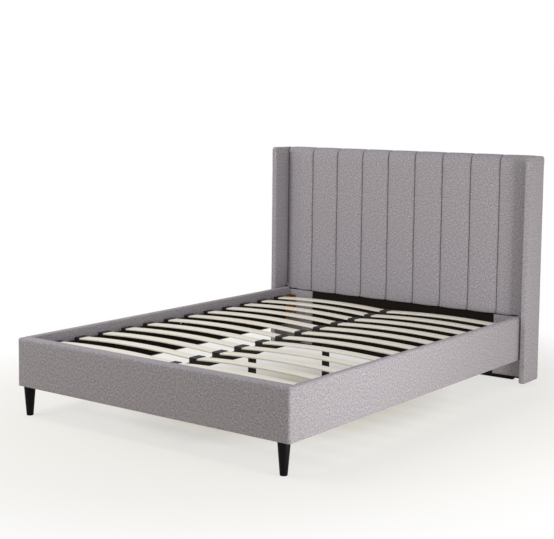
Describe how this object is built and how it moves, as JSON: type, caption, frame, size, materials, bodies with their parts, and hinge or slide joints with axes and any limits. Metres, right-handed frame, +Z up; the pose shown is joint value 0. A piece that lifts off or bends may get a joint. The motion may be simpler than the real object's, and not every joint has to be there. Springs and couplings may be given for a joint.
{
  "type": "platform bed",
  "caption": "Upholstered bed frame with a vertically channelled winged headboard, padded rails and footboard, bowed sprung slats on a centre beam, and tapered front legs.",
  "frame": {"origin": "on the floor under the middle of the bed's outline", "axes": "+X to the right seen from the foot, +Y from the foot to the headboard, +Z up"},
  "size_m": [1.664, 2.192, 1.21],
  "materials": {
    "grey_upholstery": "heathered mid-grey woven cover over foam",
    "birch_slat": "pale birch veneer",
    "black_plastic": "moulded, fine grain",
    "black_painted_steel": "black powder coat",
    "yellow_zinc_steel": "yellow passivated zinc",
    "steel_fasteners": "zinc plated",
    "black_painted_wood": "black stained softwood",
    "board": "raw particle board and pine",
    "black_cloth": "non-woven lining"
  },
  "bodies": {
    "root": {"footboard_cover": "grey_upholstery", "side_rail_cover_left": "grey_upholstery", "side_rail_cover_right": "grey_upholstery", "wing_cover_left": "grey_upholstery", "wing_cover_right": "grey_upholstery", "headboard_back_cover": "grey_upholstery", "headboard_lower_pads": "grey_upholstery", "headboard_channel_1": "grey_upholstery", "headboard_channel_2": "grey_upholstery", "headboard_channel_3": "grey_upholstery", "headboard_channel_4": "grey_upholstery", "headboard_channel_5": "grey_upholstery", "headboard_channel_6": "grey_upholstery", "headboard_channel_7": "grey_upholstery", "headboard_channel_8": "grey_upholstery", "headboard_channel_9": "grey_upholstery", "slat_left_01": "birch_slat", "slat_left_02": "birch_slat", "slat_left_03": "birch_slat", "slat_left_04": "birch_slat", "slat_left_05": "birch_slat", "slat_left_06": "birch_slat", "slat_left_07": "birch_slat", "slat_left_08": "birch_slat", "slat_left_09": "birch_slat", "slat_left_10": "birch_slat", "slat_left_11": "birch_slat", "slat_left_12": "birch_slat", "slat_right_01": "birch_slat", "slat_right_02": "birch_slat", "slat_right_03": "birch_slat", "slat_right_04": "birch_slat", "slat_right_05": "birch_slat", "slat_right_06": "birch_slat", "slat_right_07": "birch_slat", "slat_right_08": "birch_slat", "slat_right_09": "birch_slat", "slat_right_10": "birch_slat", "slat_right_11": "birch_slat", "slat_right_12": "birch_slat", "side_slat_holders": "black_plastic", "centre_slat_holders": "black_plastic", "centre_leg_feet": "black_plastic", "front_leg_left": "black_plastic", "front_leg_right": "black_plastic", "centre_beam": "black_painted_steel", "centre_legs": "black_painted_steel", "beam_hangers": "black_painted_steel", "corner_brackets": "yellow_zinc_steel", "frame_bolts": "steel_fasteners", "slat_ledgers": "black_painted_wood", "headboard_runner": "black_painted_wood", "footboard_board": "board", "side_rail_board_left": "board", "side_rail_board_right": "board", "wing_boards": "board", "headboard_panel": "board", "headboard_lower_board": "board", "headboard_timbers": "board", "dust_linings": "black_cloth"}
  },
  "joints": []
}
